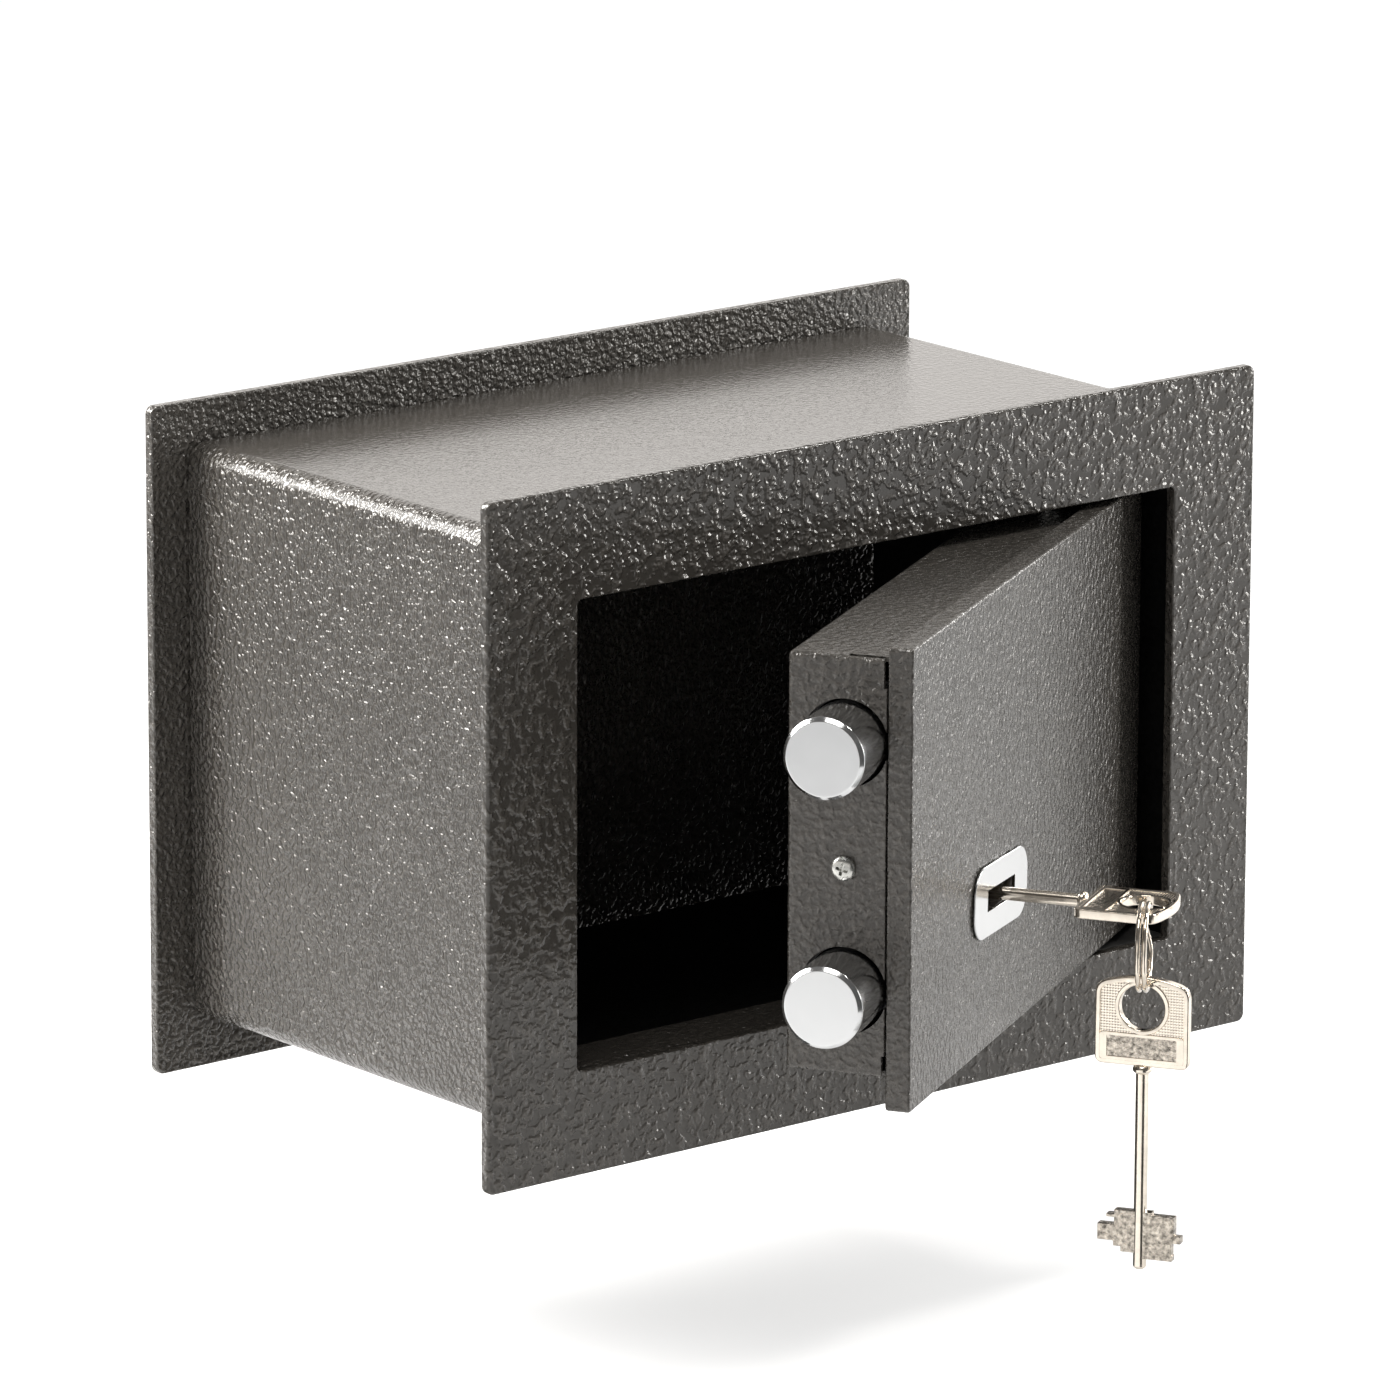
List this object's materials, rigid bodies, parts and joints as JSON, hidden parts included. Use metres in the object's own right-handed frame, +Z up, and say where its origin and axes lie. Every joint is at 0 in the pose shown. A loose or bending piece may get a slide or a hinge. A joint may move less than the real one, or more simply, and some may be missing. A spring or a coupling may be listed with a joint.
{
  "type": "wall safe",
  "caption": "Small steel safe to build into a wall, with a hinged door, round locking bolts and a double-bit key lock; the key is in the lock and a spare hangs from it.",
  "frame": {"origin": "the middle of the rear plate's back face, where the safe meets the back of its hole in the wall", "axes": "+Z up, +Y into the wall (the door faces -Y), +X to the right for someone who faces the door"},
  "size_m": [0.28, 0.2636, 0.2219],
  "materials": {
    "cabinet_paint": "hammered dark warm grey paint",
    "door_paint": "hammered dark warm grey paint",
    "dark_steel": "satin black",
    "chrome": "bright chrome, satin on the bolt ends",
    "nickel": "bright nickel, slightly warm",
    "satin_steel": "ground",
    "zinc_steel": "zinc plated",
    "brass": "plain stamped"
  },
  "bodies": {
    "cabinet": {"front_plate": "cabinet_paint", "rear_plate": "cabinet_paint", "body_shell": "cabinet_paint", "sill_strip": "cabinet_paint", "hinge_bracket_lower": "dark_steel", "hinge_bracket_upper": "dark_steel", "hinge_washer": "brass", "hinge_pin_lower": "satin_steel", "hinge_pin_upper": "satin_steel"},
    "door": {"door_plate": "door_paint", "hinge_block_lower": "dark_steel", "hinge_block_upper": "dark_steel", "escutcheon": "chrome", "lock_cover": "door_paint", "cover_screw": "zinc_steel", "bolt_guide": "dark_steel", "lock_case": "zinc_steel", "lock_lid": "zinc_steel", "lock_screw_1": "zinc_steel", "lock_screw_2": "zinc_steel", "lock_screw_3": "zinc_steel", "lock_screw_4": "zinc_steel", "lever_post": "satin_steel", "lever_stop": "satin_steel"},
    "lever_pack": {"lever_1": "brass", "lever_2": "brass", "lever_3": "brass", "lever_4": "brass", "lever_5": "brass", "lever_spring_1": "satin_steel", "lever_spring_2": "satin_steel", "lever_spring_3": "satin_steel", "lever_spring_4": "satin_steel", "lever_spring_5": "satin_steel"},
    "bolt_work": {"bolt_lower": "chrome", "bolt_upper": "chrome", "bolt_bar": "dark_steel", "bar_screw_1": "zinc_steel", "bar_screw_2": "zinc_steel", "lock_bolt": "brass"},
    "curtain": {"curtain": "brass"},
    "key": {"key": "nickel"},
    "ring": {"split_ring": "nickel"},
    "spare_key": {"spare_key": "nickel"}
  },
  "joints": [
    {"name": "door_swing", "type": "hinge", "parent": "cabinet", "child": "door", "pos_m": [0.079, -0.135, 0], "axis": [0, 0, 1], "range_deg": [-31.4, 78.6]},
    {"name": "key_turn", "type": "hinge", "parent": "door", "child": "curtain", "pos_m": [-0.00148, -0.20756, -0.0235], "axis": [-0.521, 0.8536, 0], "range_deg": [0, 180]},
    {"name": "bolt_throw", "type": "slide", "parent": "door", "child": "bolt_work", "axis": [0.8536, 0.521, 0], "range_m": [0, 0.019]},
    {"name": "lever_lift", "type": "hinge", "parent": "door", "child": "lever_pack", "pos_m": [0.01171, -0.17256, -0.0235], "axis": [-0.521, 0.8536, 0], "range_deg": [0, 1.5], "stiffness_Nm_per_rad": 0.05, "springref_deg": -11.46},
    {"name": "key_withdraw", "type": "slide", "parent": "curtain", "child": "key", "axis": [0.521, -0.8536, 0], "range_m": [0, 0.04]},
    {"name": "ring_swing", "type": "hinge", "parent": "key", "child": "ring", "pos_m": [0.01353, -0.25135, -0.02014], "axis": [0.7266, 0.6871, 0], "range_deg": [-30, 8]},
    {"name": "spare_key_swing", "type": "hinge", "parent": "ring", "child": "spare_key", "pos_m": [0.01353, -0.25135, -0.04404], "axis": [0.8536, 0.521, 0], "range_deg": [-10, 10]}
  ],
  "couplings": [
    {"joint": "key_turn", "follows": "bolt_throw", "rad_per_m": 165.35}
  ]
}
